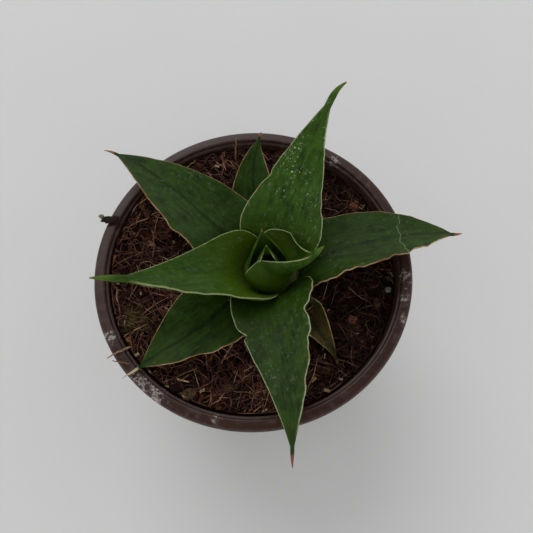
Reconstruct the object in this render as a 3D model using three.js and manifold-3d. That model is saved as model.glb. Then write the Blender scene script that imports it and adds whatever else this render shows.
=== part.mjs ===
// A young broad-leaved snake plant growing in a 12 cm plastic nursery pot.
//
// Millimetres, +Z up. The origin is the middle of the pot's flat underside. The long front leaf
// points towards -Y, and azimuths are counted in degrees from +X, anticlockwise seen from above.
//
// The pieces, from the outside in: the pot, the coir potting mix that fills it, the short stem
// that carries the leaves, ten living leaves and one withered leaf, and the loose things that lie
// on the mix: bark chips, a clod, a feed pellet, a seed husk and the thickest coir strands.

import * as THREE from 'three';
import { mergeVertices } from 'three/addons/utils/BufferGeometryUtils.js';
import Module from 'manifold-3d';

const wasm = await Module();
wasm.setup();

// ---------------------------------------------------------------- driving dimensions

const GAP = 0.3; // clearance between pieces that touch

const POT_HEIGHT = 92;
const RIM_RADIUS = 60; // outside of the collar, at the top
const BASE_RADIUS = 43;
const WALL = 1.6;
const FLOOR = 2.4;
const COLLAR_DEPTH = 13; // how far the collar's skirt hangs down
const RIM_WIDTH = 4.4; // the smooth band seen from above
const LEDGE_WIDTH = 1.1; // the narrow step just inside that band
const LEDGE_DROP = 1.2;
const DRAIN_COUNT = 8;
const DRAIN_RADIUS = 3.5;
const DRAIN_CIRCLE = 31;
const CHANNEL_DEPTH = 1.2; // grooves under the floor that let the water out

const MIX_DROP = 4.5; // mean depth of the mix's surface below the rim
const MIX_TILT = 0.032; // the mix lies higher on the -X side than on the +X side
const MIX_BUMP = 0.5;
const MIX_EDGE_DROP = 7; // the mix meets the wall no lower than this

const STEM_AXIS = new THREE.Vector2(5.5, -2); // the plant stands a little off the pot's centre
const STEM_TOP_RADIUS = 2.4;
const STEM_RADIUS = 15.5; // widest, where the oldest leaves sit
const STEM_SLOPE = 1.2; // how steeply the leaf scars climb towards the middle
const STEM_PEAK = 11.1; // height above the rim at which that slope would reach the axis
const STEM_FOOT = 22; // depth of the stem's foot below the rim

const rad = THREE.MathUtils.degToRad;
const lerp = THREE.MathUtils.lerp;

// ---------------------------------------------------------------- solids and meshes

// A closed geometry as a manifold solid.
function solidOf(geometry) {
  const bare = geometry.clone();
  bare.deleteAttribute('normal');
  bare.deleteAttribute('uv');
  const merged = mergeVertices(bare, 1e-4);
  return new wasm.Manifold(
    new wasm.Mesh({
      numProp: 3,
      vertProperties: new Float32Array(merged.attributes.position.array),
      triVerts: new Uint32Array(merged.index.array),
    }),
  );
}

// A manifold solid as a geometry.
function geometryOf(solid) {
  const { vertProperties, triVerts } = solid.getMesh();
  const geometry = new THREE.BufferGeometry();
  geometry.setAttribute('position', new THREE.BufferAttribute(vertProperties, 3));
  geometry.setIndex(new THREE.BufferAttribute(triVerts, 1));
  geometry.computeVertexNormals();
  return geometry;
}

// The largest body of a solid, for a piece that a cut has left with loose crumbs.
function largestBody(solid) {
  const bodies = solid.decompose();
  return bodies.reduce((a, b) => (b.volume() > a.volume() ? b : a));
}

// Cuts several solids out of one.
function cutAll(solid, cutters) {
  return cutters.reduce((left, cutter) => left.subtract(cutter), solid);
}

const plant = new THREE.Group();

// Adds one named mesh to the model.
function addMesh(name, geometry, color, roughness, metalness = 0) {
  const material = new THREE.MeshStandardMaterial({ color, roughness, metalness });
  const mesh = new THREE.Mesh(geometry, material);
  mesh.name = name;
  plant.add(mesh);
  return mesh;
}

// A solid of revolution about +Z from a list of [radius, height] pairs.
function turned(profile, segments) {
  const points = profile.map(([r, z]) => new THREE.Vector2(r, z));
  return new THREE.LatheGeometry(points, segments).rotateX(Math.PI / 2);
}

// A closed skin over a stack of rings that all have the same number of points. Each ring runs
// anticlockwise seen from the far end of the stack; both ends close on a middle point.
function skin(rings, startPoint, endPoint) {
  const count = rings[0].length;
  const points = [startPoint, ...rings.flat(), endPoint];
  const last = points.length - 1;
  const at = (ring, k) => 1 + ring * count + (k % count);
  const index = [];
  for (let k = 0; k < count; k++) {
    index.push(0, at(0, k + 1), at(0, k));
    for (let ring = 0; ring < rings.length - 1; ring++) {
      index.push(at(ring, k), at(ring, k + 1), at(ring + 1, k + 1));
      index.push(at(ring, k), at(ring + 1, k + 1), at(ring + 1, k));
    }
    index.push(last, at(rings.length - 1, k), at(rings.length - 1, k + 1));
  }
  const geometry = new THREE.BufferGeometry().setFromPoints(points);
  geometry.setIndex(index);
  return geometry;
}

// ---------------------------------------------------------------- the pot

// The body tapers to the base. The collar is a hanging skirt with an air gap behind it, and the
// rim above it is a smooth rounded band with a narrow step on its inner side.
function potGeometry() {
  const H = POT_HEIGHT;
  const R = RIM_RADIUS;
  const band = R - RIM_WIDTH;
  const inner = band - LEDGE_WIDTH;
  const skirt = 1.5; // the skirt's thickness
  const profile = [
    [0, 0],
    [BASE_RADIUS - 1.2, 0],
    [BASE_RADIUS, 1.2],
    [inner + WALL, H - 3.4],
    [R - skirt - 0.3, H - 3.4],
    [R - skirt - 1.4, H - COLLAR_DEPTH],
    [R - 1.1, H - COLLAR_DEPTH],
    [R, H - 1.6],
    [R - 0.5, H - 0.4],
    [R - 1.5, H],
    [band + 0.9, H],
    [band + 0.2, H - 0.4],
    [band, H - LEDGE_DROP],
    [inner + 0.3, H - LEDGE_DROP - 0.1],
    [inner, H - LEDGE_DROP - 0.8],
    [BASE_RADIUS - WALL + 0.2, FLOOR + 1.2],
    [BASE_RADIUS - WALL - 1, FLOOR],
    [0, FLOOR],
  ];
  const cutters = [];
  for (let k = 0; k < DRAIN_COUNT; k++) {
    const turn = ((k + 0.5) / DRAIN_COUNT) * 2 * Math.PI;
    const hole = new THREE.CylinderGeometry(DRAIN_RADIUS, DRAIN_RADIUS, 4 * FLOOR, 16);
    hole.rotateX(Math.PI / 2).translate(DRAIN_CIRCLE, 0, 0).rotateZ(turn);
    const length = 1.5 * (BASE_RADIUS - DRAIN_CIRCLE);
    const channel = new THREE.BoxGeometry(length, 1.6 * DRAIN_RADIUS, 2 * CHANNEL_DEPTH);
    channel.translate(DRAIN_CIRCLE + length / 2, 0, 0).rotateZ(turn);
    cutters.push(solidOf(hole), solidOf(channel));
  }
  return geometryOf(cutAll(solidOf(turned(profile, 64)), cutters));
}

// Radius of the pot's inner wall at a height.
function innerWall(z) {
  const top = RIM_RADIUS - RIM_WIDTH - LEDGE_WIDTH;
  const bottom = BASE_RADIUS - WALL + 0.2;
  const rise = (z - FLOOR - 1.2) / (POT_HEIGHT - LEDGE_DROP - 0.8 - FLOOR - 1.2);
  return lerp(bottom, top, rise);
}

// ---------------------------------------------------------------- the stem

// Height of the stem's sloping shoulder at a distance from its axis.
const shoulder = (r) => POT_HEIGHT + STEM_PEAK - STEM_SLOPE * r;

function stemGeometry(grow = 0) {
  const profile = [
    [0, POT_HEIGHT - STEM_FOOT - grow],
    [5 + grow, POT_HEIGHT - STEM_FOOT - grow],
    [7 + grow, POT_HEIGHT - STEM_FOOT + 6],
    [STEM_RADIUS - 2 + grow, shoulder(STEM_RADIUS) - 4],
    [STEM_RADIUS + grow, shoulder(STEM_RADIUS)],
    [STEM_TOP_RADIUS + grow, shoulder(STEM_TOP_RADIUS) + 1.5 * grow],
    [0, shoulder(STEM_TOP_RADIUS) + 0.6 + 1.5 * grow],
  ];
  return turned(profile, 28).translate(STEM_AXIS.x, STEM_AXIS.y, 0);
}

// ---------------------------------------------------------------- the leaves

// Every leaf is one fleshy blade that ends in a round point, which is green and plump on a young
// leaf and a thin dry spine on an old one. The blade is described by how it grows:
//   azimuth, swing   the direction it sets off in, and how far it has turned by its end
//   seat             distance of its foot from the stem's axis
//   length, width    of the blade, width measured round its curve
//   rise             climb above the horizontal after the knee, and at the end
//   knee             extra climb at the foot, where the leaf clasps the stem
//   roll             sideways lean of the blade; the left margin goes up when it is positive
//   foot, widest     width at the foot as a share of the width, and where the blade is widest
//   taper            how full the outline stays towards the end: 2 is full, under 1 is hollow
//   curl             half angle of the channel across the blade, at the foot and at the end
//   thick            thickness at the foot
//   point            length, radius, and the turn (sideways, upwards) of the round point
const LEAVES = [
  { name: 'leaf_spear', azimuth: 95, swing: 0, seat: 2.6, length: 11, width: 13,
    rise: [95, 90], knee: 0, roll: 0, foot: 0.9, widest: 0.3, taper: 1, curl: [125, 100],
    thick: 1, point: [0.8, 0.35, 0, 0] },
  { name: 'leaf_young', azimuth: 100, swing: 0, seat: 5.6, length: 12.5, width: 23,
    rise: [82, 66], knee: 0, roll: 0, foot: 0.95, widest: 0.15, taper: 1.1, curl: [112, 80],
    thick: 1.5, point: [1.2, 0.45, 0, 0] },
  { name: 'leaf_inner', azimuth: 350, swing: 42, seat: 7.5, length: 18, width: 40,
    rise: [72, 40], knee: 10, roll: -40, foot: 0.95, widest: 0.12, taper: 0.8, curl: [128, 90],
    thick: 2.2, point: [4, 1.1, -10, -10] },
  { name: 'leaf_left', azimuth: 194, swing: -14, seat: 9.6, length: 49, width: 37,
    rise: [38, 12], knee: 35, roll: 16, foot: 0.92, widest: 0.08, taper: 0.8, curl: [92, 25],
    thick: 2.8, point: [8.5, 1.2, 6, 4] },
  { name: 'leaf_back_right', azimuth: 68, swing: -11, seat: 10.5, length: 60, width: 33,
    rise: [40, 25], knee: 35, roll: 0, foot: 0.7, widest: 0.18, taper: 0.9, curl: [60, 22],
    thick: 3, point: [7.2, 1.2, -40, 0] },
  { name: 'leaf_front', azimuth: 278, swing: -11, seat: 10.5, length: 62.5, width: 33,
    rise: [36, 2], knee: 35, roll: 24, foot: 0.7, widest: 0.1, taper: 1.1, curl: [60, 22],
    thick: 3, point: [4.5, 0.6, 4, -12] },
  { name: 'leaf_back_left', azimuth: 138, swing: 10, seat: 12.5, length: 64, width: 33,
    rise: [22, 0], knee: 35, roll: 20, foot: 0.6, widest: 0.25, taper: 1.6, curl: [45, 22],
    thick: 3, point: [5, 0.55, 28, 10] },
  { name: 'leaf_right', azimuth: 12, swing: -16, seat: 12.5, length: 59, width: 32,
    rise: [18, 0], knee: 35, roll: -27, foot: 0.66, widest: 0.3, taper: 2, curl: [50, 25],
    thick: 3, point: [3.4, 0.6, 8, 10] },
  { name: 'leaf_back_small', azimuth: 99, swing: -30, seat: 14, length: 43, width: 19.5,
    rise: [18, 16], knee: 0, roll: -8, foot: 0.6, widest: 0.3, taper: 1.5, curl: [30, 22],
    thick: 2.6, point: [2.4, 0.5, 0, 0] },
  { name: 'leaf_front_left', azimuth: 219, swing: -8, seat: 14.5, length: 45, width: 30,
    rise: [18, -4], knee: 30, roll: 10, foot: 0.6, widest: 0.24, taper: 1.55, curl: [40, 22],
    thick: 2.8, point: [7, 0.5, 2, 8] },
  { name: 'leaf_withered', azimuth: 310, swing: -22, seat: 14.5, length: 27, width: 15,
    rise: [16, -8], knee: 0, roll: 0, foot: 0.6, widest: 0.28, taper: 0.9, curl: [40, 50],
    thick: 1.3, point: [1.6, 0.4, 0, 0] },
];

const KNEE_SHARE = 0.1; // share of the blade over which the knee dies away
const CURL_SHARE = 0.2; // share of the blade over which the foot's channel opens
const BLADE_STEPS = 13;
const POINT_STEPS = 3;
const RING_POINTS = 12;
const MIDRIB_STEPS = 120;

// Half width of the blade at a share s of its length.
function halfWidth(leaf, s) {
  if (s < leaf.widest) {
    const before = (leaf.widest - s) / leaf.widest;
    return (leaf.width / 2) * (leaf.foot + (1 - leaf.foot) * (1 - before * before));
  }
  const after = (s - leaf.widest) / (1 - leaf.widest);
  return Math.max((leaf.width / 2) * (1 - after ** leaf.taper), leaf.point[1]);
}

// Direction of growth at a distance along the midrib; past the blade it follows the point's turn.
function growth(leaf, distance) {
  const s = Math.min(distance / leaf.length, 1);
  const past = Math.max(distance - leaf.length, 0) / leaf.point[0];
  const azimuth = rad(leaf.azimuth + leaf.swing * s * s + leaf.point[2] * past);
  const knee = leaf.knee * Math.exp(-s / KNEE_SHARE);
  const climb = rad(lerp(leaf.rise[0], leaf.rise[1], s) + knee + leaf.point[3] * past);
  const along = new THREE.Vector3(
    Math.cos(azimuth) * Math.cos(climb),
    Math.sin(azimuth) * Math.cos(climb),
    Math.sin(climb),
  );
  const left = new THREE.Vector3(-Math.sin(azimuth), Math.cos(azimuth), 0);
  left.applyAxisAngle(along, rad(leaf.roll) * Math.min(s / KNEE_SHARE / 3, 1));
  return { along, left, up: new THREE.Vector3().crossVectors(along, left) };
}

// The midrib: points every small step from the foot on the stem's shoulder to the very tip.
function midrib(leaf) {
  const total = leaf.length + leaf.point[0];
  const start = rad(leaf.azimuth);
  const place = new THREE.Vector3(
    STEM_AXIS.x + leaf.seat * Math.cos(start),
    STEM_AXIS.y + leaf.seat * Math.sin(start),
    shoulder(leaf.seat),
  );
  const points = [place.clone()];
  const step = total / MIDRIB_STEPS;
  for (let k = 0; k < MIDRIB_STEPS; k++) {
    place.addScaledVector(growth(leaf, (k + 0.5) * step).along, step);
    points.push(place.clone());
  }
  return { total, at: (distance) => sample(points, (distance / total) * MIDRIB_STEPS) };
}

// A point between two neighbours of an evenly spaced list.
function sample(points, place) {
  const k = Math.min(Math.floor(place), points.length - 2);
  return points[k].clone().lerp(points[k + 1], place - k);
}

// One leaf as a closed skin; grow makes it that much larger all round, to cut its neighbours.
function leafGeometry(leaf, grow = 0) {
  const rib = midrib(leaf);
  const stations = [];
  for (let k = 0; k <= BLADE_STEPS; k++) {
    stations.push(leaf.length * (0.5 - 0.5 * Math.cos((Math.PI * k) / BLADE_STEPS)));
  }
  for (let k = 1; k <= POINT_STEPS; k++) {
    stations.push(leaf.length + (leaf.point[0] * k * 0.94) / POINT_STEPS);
  }
  const rings = stations.map((distance) => {
    const s = Math.min(distance / leaf.length, 1);
    const past = Math.max(distance - leaf.length, 0) / leaf.point[0];
    const { left, up } = growth(leaf, distance);
    const middle = rib.at(distance);
    const narrowing = 1 - 0.8 * past ** 1.4;
    const half = halfWidth(leaf, s) * narrowing;
    const thick = lerp(leaf.thick, 2 * leaf.point[1], s ** 1.5) * narrowing;
    const opened = Math.exp(-s / CURL_SHARE);
    const curl = rad(lerp(leaf.curl[1], leaf.curl[0], opened)) * (1 - past) + 1e-3;
    const ring = [];
    for (let k = 0; k < RING_POINTS; k++) {
      const turn = (2 * Math.PI * k) / RING_POINTS;
      const u = Math.cos(turn);
      const across = (half * Math.sin(curl * u)) / curl;
      const lift = (half * (1 - Math.cos(curl * u))) / curl;
      const bend = curl * u;
      const depth = (thick / 2 + grow) * Math.sin(turn) - 0.15 * thick * (1 - u * u);
      const point = middle.clone();
      point.addScaledVector(left, across - depth * Math.sin(bend) + grow * u * Math.cos(bend));
      point.addScaledVector(up, lift + depth * Math.cos(bend) + grow * u * Math.sin(bend));
      ring.push(point);
    }
    return ring;
  });
  const foot = rib.at(0).addScaledVector(growth(leaf, 0).along, -grow);
  return skin(rings, foot, rib.at(rib.total).addScaledVector(growth(leaf, rib.total).along, grow));
}

// ---------------------------------------------------------------- loose things on the mix

// Height of the mix's surface: it leans, and it is uneven by a millimetre or so.
function mixTop(x, y) {
  const bumps = Math.sin(x / 6.5 + 1) * Math.cos(y / 5.5) + 0.6 * Math.sin((x + y) / 4.2);
  return POT_HEIGHT - MIX_DROP - MIX_TILT * x + MIX_BUMP * bumps;
}

// A repeatable random sequence between 0 and 1.
function randomFrom(seed) {
  let state = seed;
  return () => {
    state = (state * 16807) % 2147483647;
    return state / 2147483647;
  };
}

// A broken lump: a rough ball with uneven corners, stretched to its length, width and height.
function lumpGeometry({ seed, size, turn, at, grain = 0.3 }) {
  const random = randomFrom(seed);
  const ball = mergeVertices(bareIcosahedron(), 1e-4);
  const position = ball.attributes.position;
  const corner = new THREE.Vector3();
  for (let k = 0; k < position.count; k++) {
    corner.fromBufferAttribute(position, k).multiplyScalar(1 - grain * random());
    position.setXYZ(k, corner.x, corner.y, corner.z);
  }
  ball.scale(size[0] / 2, size[1] / 2, size[2] / 2);
  return ball.rotateZ(rad(turn)).translate(...at);
}

function bareIcosahedron() {
  const geometry = new THREE.IcosahedronGeometry(1, 1);
  geometry.deleteAttribute('normal');
  geometry.deleteAttribute('uv');
  return geometry;
}

// A strand: a thin tube along a smooth curve through a few points.
function strandGeometry(points, radius) {
  const path = new THREE.CatmullRomCurve3(points.map((p) => new THREE.Vector3(...p)));
  const section = new THREE.Shape();
  section.absarc(0, 0, radius, 0, 2 * Math.PI);
  const steps = 3 * (points.length - 1);
  const options = { steps, extrudePath: path, curveSegments: 6, bevelEnabled: false };
  return new THREE.ExtrudeGeometry(section, options);
}

// A place on the mix, lifted by a height.
const onMix = (x, y, lift) => [x, y, mixTop(x, y) + lift];

const BARK = 0x3a2418;
const RED_BARK = 0x552c20;
const COIR = 0x7a5c42;

const LUMPS = [
  { name: 'bark_on_rim', seed: 11, size: [10.5, 3.6, 2.6], turn: 4, color: 0x1f1512,
    at: [-54.4, 21.2, POT_HEIGHT + 1.2] },
  { name: 'red_bark_chip', seed: 23, size: [5.6, 4, 2.4], turn: -28, color: RED_BARK,
    at: onMix(36, -20.4, 1) },
  { name: 'bark_chip_1', seed: 31, size: [6, 3, 2], turn: 62, color: BARK,
    at: onMix(-41, 25, 0.8) },
  { name: 'bark_chip_2', seed: 37, size: [5, 3.2, 2], turn: 20, color: BARK,
    at: onMix(-38, -2.5, 0.8) },
  { name: 'bark_chip_3', seed: 41, size: [6.5, 3, 2.2], turn: -50, color: RED_BARK,
    at: onMix(41, 26, 0.9) },
  { name: 'bark_chip_4', seed: 43, size: [5, 2.8, 2], turn: 80, color: BARK,
    at: onMix(46, -14, 0.8) },
  { name: 'bark_chip_5', seed: 47, size: [5.5, 3, 2], turn: 10, color: BARK,
    at: onMix(-10, -44, 0.8) },
  { name: 'clod', seed: 53, size: [5.8, 5.2, 4], turn: 30, color: 0x4a3a2c,
    at: onMix(-23.5, -46.5, 1.4), grain: 0.18 },
  { name: 'feed_pellet', seed: 59, size: [2.6, 2.4, 2.2], turn: 0, color: 0x6a6a68,
    at: onMix(51, -9, 0.8), grain: 0.05 },
];

// The husk sits on the outer end of the bark that lies on the rim.
const HUSK = { name: 'seed_husk', seed: 61, size: [2.2, 1.8, 1.6], turn: 0, color: 0x6e6a4e,
  at: [-57.8, 21.9, POT_HEIGHT + 2.95], grain: 0.06 };

const STRANDS = [
  { name: 'strand_over_rim', radius: 0.4, color: 0xa08468,
    points: [onMix(-45, -28.5, 0.9), [-48.6, -31, POT_HEIGHT + 0.8],
      [-52, -33.2, POT_HEIGHT + 2.6]] },
  { name: 'strand_thin', radius: 0.3, color: COIR,
    points: [onMix(-42.5, -35, 0.8), [-46.6, -34.9, POT_HEIGHT + 0.9],
      [-50.4, -34, POT_HEIGHT + 1.6]] },
  { name: 'strand_upright', radius: 0.35, color: COIR,
    points: [onMix(-6.2, 49.5, 0.7), [-5.9, 53, POT_HEIGHT - 0.4],
      [-5.7, 56, POT_HEIGHT + 2]] },
  { name: 'pale_root', radius: 0.35, color: 0xb09a7c,
    points: [onMix(36.5, 47.5, 0.6), onMix(39.6, 45.4, 1.5), onMix(41.2, 42, 1.8),
      onMix(40.6, 38, 0.7)] },
  { name: 'straw', radius: 0.45, color: 0xb59a72,
    points: [onMix(-28.2, -40.6, 0.8), onMix(-26, -41.1, 1.1), onMix(-23.8, -41.8, 0.8)] },
];

// ---------------------------------------------------------------- the potting mix

const MIX_RINGS = 9;
const MIX_SECTORS = 40;

// The plug of mix: an uneven top, sides a hair clear of the pot's wall, and a flat bottom.
function mixGeometry() {
  const bottom = FLOOR + 1.2 + GAP;
  const ringAt = (radius, height) => {
    const ring = [];
    for (let k = 0; k < MIX_SECTORS; k++) {
      const turn = (2 * Math.PI * k) / MIX_SECTORS;
      const x = radius * Math.cos(turn);
      const y = radius * Math.sin(turn);
      ring.push(new THREE.Vector3(x, y, height ?? mixTop(x, y)));
    }
    return ring;
  };
  const edge = innerWall(POT_HEIGHT - MIX_EDGE_DROP) - 2 * GAP;
  const rings = [ringAt(innerWall(bottom) - 2 * GAP, bottom)];
  for (let k = MIX_RINGS; k >= 1; k--) rings.push(ringAt((edge * k) / MIX_RINGS));
  const middle = new THREE.Vector3(0, 0, mixTop(0, 0));
  return skin(rings, new THREE.Vector3(0, 0, bottom), middle);
}

// ---------------------------------------------------------------- the assembly

addMesh('pot', potGeometry(), 0x3b2c2a, 0.42);
addMesh('stem', stemGeometry(), 0x7d8a4e, 0.6);

// Leaves are made from the youngest outwards. Each older leaf gives way to the ones it clasps.
const LEAF_COLORS = { leaf_withered: 0x5a4a24, leaf_spear: 0x2c4a18, leaf_left: 0x3c5c1e };
const taken = [solidOf(stemGeometry(GAP))];
for (const leaf of LEAVES) {
  const trimmed = largestBody(cutAll(solidOf(leafGeometry(leaf)), taken));
  addMesh(leaf.name, geometryOf(trimmed), LEAF_COLORS[leaf.name] ?? 0x2e4d22, 0.45);
  taken.push(solidOf(leafGeometry(leaf, GAP)));
}

// A loose thing lies on the mix: it keeps clear of the pot, the leaves and what was laid before.
const pot = solidOf(turned([
  [RIM_RADIUS - RIM_WIDTH - LEDGE_WIDTH - GAP, POT_HEIGHT - COLLAR_DEPTH],
  [RIM_RADIUS + GAP, POT_HEIGHT - COLLAR_DEPTH],
  [RIM_RADIUS + GAP, POT_HEIGHT + GAP],
  [RIM_RADIUS - RIM_WIDTH - GAP, POT_HEIGHT + GAP],
  [RIM_RADIUS - RIM_WIDTH - GAP, POT_HEIGHT - LEDGE_DROP + GAP],
  [RIM_RADIUS - RIM_WIDTH - LEDGE_WIDTH - GAP, POT_HEIGHT - LEDGE_DROP + GAP],
  [RIM_RADIUS - RIM_WIDTH - LEDGE_WIDTH - GAP, POT_HEIGHT - COLLAR_DEPTH],
], 64));

function layDown({ name, color }, geometry, grown) {
  const piece = largestBody(cutAll(solidOf(geometry), [pot, ...taken]));
  addMesh(name, geometryOf(piece), color, 0.9);
  taken.push(solidOf(grown));
}

for (const lump of [...LUMPS, HUSK]) {
  const larger = { ...lump, size: lump.size.map((side) => side + 2 * GAP) };
  layDown(lump, lumpGeometry(lump), lumpGeometry(larger));
}
for (const strand of STRANDS) {
  const { points, radius } = strand;
  layDown(strand, strandGeometry(points, radius), strandGeometry(points, radius + GAP));
}

addMesh('potting_mix', geometryOf(largestBody(cutAll(solidOf(mixGeometry()), taken))), 0x2a1a12, 0.95);

export default plant;
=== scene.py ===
# %% [markdown]
# # A potted snake plant
#
# This lesson dresses the CAD model of a young, broad-leaved snake plant in its nursery pot. The CAD
# model already fixes every size and place. Blender adds what the eye reads as a living plant: waxy
# leaves with hardened margins, a moulded plastic rim with dust in its step, and loose coir.
#
# The frame is loaded first, and every size below is either measured on it or given in millimetres.

# %% Load the frame
import math
from functools import partial

import bpy
from mathutils import Matrix, Vector, noise


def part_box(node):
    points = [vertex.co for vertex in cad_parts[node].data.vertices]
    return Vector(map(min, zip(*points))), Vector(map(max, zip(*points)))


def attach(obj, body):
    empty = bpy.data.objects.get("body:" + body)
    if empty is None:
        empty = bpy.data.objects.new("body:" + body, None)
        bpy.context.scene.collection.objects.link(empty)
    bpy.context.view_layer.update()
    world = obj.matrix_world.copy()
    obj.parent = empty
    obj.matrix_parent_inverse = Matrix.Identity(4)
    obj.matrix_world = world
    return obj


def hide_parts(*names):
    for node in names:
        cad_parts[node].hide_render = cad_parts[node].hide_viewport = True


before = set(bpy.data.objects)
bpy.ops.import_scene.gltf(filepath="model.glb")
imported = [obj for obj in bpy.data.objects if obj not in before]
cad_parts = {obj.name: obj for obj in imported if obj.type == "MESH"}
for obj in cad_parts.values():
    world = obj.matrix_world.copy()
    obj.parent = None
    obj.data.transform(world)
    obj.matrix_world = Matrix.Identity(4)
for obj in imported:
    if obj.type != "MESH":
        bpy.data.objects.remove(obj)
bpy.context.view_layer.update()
MM = 0.001
POT_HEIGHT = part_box("pot")[1].z / MM
RIM_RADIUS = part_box("pot")[1].x / MM
print(f"pot {2 * RIM_RADIUS:.1f} mm across and {POT_HEIGHT:.1f} mm tall, {len(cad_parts)} nodes")

# %% [markdown]
# ## Helpers
#
# Colours are written as the hex values a colour picker shows. Blender works with linear light, so
# one function converts them. Another adds a node to a tree, sets it up and links it in one call. A
# list fills a node's inputs in order, and a dictionary fills them by name or number. Every material
# ends in the same way: tints laid over a base, then gloss and bumps.

# %% Colour and nodes


def colour(code):
    """A '#rrggbb' value as the linear colour that Blender's sockets take."""
    shares = [int(code[k:k + 2], 16) / 255 for k in (1, 3, 5)]
    return [s / 12.92 if s < 0.04045 else ((s + 0.055) / 1.055) ** 2.4 for s in shares] + [1.0]


def add_node(tree, kind, inputs=(), output=0, **settings):
    """Adds a node, fills or links its inputs, and returns one of its outputs."""
    node = tree.nodes.new(kind if "Node" in kind else "ShaderNode" + kind)
    for name, value in settings.items():
        setattr(node, name, value)
    named = inputs if isinstance(inputs, dict) else dict(enumerate(inputs))
    for name, value in named.items():
        if isinstance(value, bpy.types.NodeSocket):
            tree.links.new(value, node.inputs[name])
        else:
            is_colour = isinstance(value, str) and value.startswith("#")
            node.inputs[name].default_value = colour(value) if is_colour else value
    return node.outputs[output] if len(node.outputs) else node


def new_material(name):
    """An empty material, the function that adds nodes to it, and each point's place."""
    material = bpy.data.materials.new(name)
    material.use_nodes = True
    material.node_tree.nodes.clear()
    add = partial(add_node, material.node_tree)
    return material, add, add("TexCoord", output="Object")


def dress(add, base, layers, looks, height=None, bump=(0, 0)):
    """Ends a material: (mask, tint) layers over a base, gloss, and bumps (strength, depth in mm)."""
    for mask, tint in layers:
        base = add("Mix", {0: mask, 6: base, 7: tint}, 2, data_type="RGBA")
    looks = {"Base Color": base, **looks}
    if height is not None:
        looks["Normal"] = add("Bump", {
            "Strength": bump[0], "Distance": bump[1] * MM, "Height": height}, "Normal")
    add("OutputMaterial", {"Surface": add("BsdfPrincipled", looks)})


# %% [markdown]
# A mesh is written in millimetres and stored in metres. A closed tube or blade is a stack of rings with a
# middle point at each end, so no pole is left open. Each finished piece then rides on the pot's only body,
# and may stand for a CAD node.

# %% Meshes and pieces


def make_mesh(name, points, faces):
    """A smooth object made of points in millimetres."""
    mesh = bpy.data.meshes.new(name)
    mesh.from_pydata([Vector(p) * MM for p in points], [], faces)
    mesh.shade_smooth()
    piece = bpy.data.objects.new(name, mesh)
    bpy.context.scene.collection.objects.link(piece)
    return piece


def skin_faces(ring_total, ring_size):
    """Faces of a closed stack of rings: point 0 closes the start, the last point the end."""
    def at(ring, k):
        return 1 + ring * ring_size + k % ring_size

    last = 1 + ring_total * ring_size
    faces = []
    for k in range(ring_size):
        faces.append((0, at(0, k + 1), at(0, k)))
        faces.append((last, at(ring_total - 1, k), at(ring_total - 1, k + 1)))
        for ring in range(ring_total - 1):
            faces.append((at(ring, k), at(ring, k + 1), at(ring + 1, k + 1), at(ring + 1, k)))
    return faces


def store(piece, name, values):
    """Keeps one vector per point on the mesh, for a material to read."""
    attribute = piece.data.attributes.new(name, "FLOAT_VECTOR", "POINT")
    attribute.data.foreach_set("vector", [x for value in values for x in value])


def finish_piece(piece, material, slot, *nodes):
    """Gives a piece its material, its body and the CAD nodes that it stands for. The slot is not used."""
    piece.data.materials.clear()
    piece.data.materials.append(material)
    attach(piece, "root")
    if nodes:
        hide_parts(*nodes)


# %% [markdown]
# Geometry Nodes make what repeats: drain holes, fibres, bark fines. A tree gets one named input for
# each size. The modifier's inputs are set before the object is evaluated, and the result is kept as
# a plain mesh, so nothing is left live.

# %% Geometry Nodes trees


def new_tree(name, sizes):
    """A tree for a mesh and some named sizes, the function that adds nodes to it, and its inputs."""
    tree = bpy.data.node_groups.new(name, "GeometryNodeTree")
    tree.is_modifier = True
    tree.interface.new_socket("Geometry", in_out="INPUT", socket_type="NodeSocketGeometry")
    tree.interface.new_socket("Geometry", in_out="OUTPUT", socket_type="NodeSocketGeometry")
    for label, value in sizes.items():
        kind = "NodeSocketInt" if isinstance(value, int) else "NodeSocketFloat"
        tree.interface.new_socket(label, in_out="INPUT", socket_type=kind).default_value = value
    add = partial(add_node, tree)
    return tree, add, add("NodeGroupInput").node.outputs


def grown(piece, tree, sizes):
    """Runs a tree on a piece with these sizes and keeps the outcome as the piece's mesh."""
    modifier = piece.modifiers.new(tree.name, "NODES")
    modifier.node_group = tree
    for socket in tree.interface.items_tree:
        if socket.in_out == "INPUT" and socket.name in sizes:
            modifier[socket.identifier] = sizes[socket.name]
    graph = bpy.context.evaluated_depsgraph_get()
    outcome = bpy.data.meshes.new_from_object(
        piece.evaluated_get(graph), preserve_all_data_layers=True, depsgraph=graph)
    piece.modifiers.clear()
    piece.data = outcome
    print(f"{piece.name}: {len(outcome.polygons)} faces")
    return piece


# %% [markdown]
# ## Camera, floor and light
#
# The camera looks down steeply on the pot from the front, a little tilted, as a hand-held one is. A
# wide soft light from beyond the pot gives the far rim its sheen and lays the shadow towards the
# viewer. The room's pale walls fill the shadows in. The ceiling is darker, so that the leaves keep
# their depth of colour when they are seen from above.

# %% Camera
CAMERA_AIM = Vector((5.1, 0.0, POT_HEIGHT)) * MM
CAMERA_HEIGHT_ANGLE = math.radians(69)
CAMERA_TILT = math.radians(-1.96)
CAMERA_DISTANCE = 215 * MM

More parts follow.
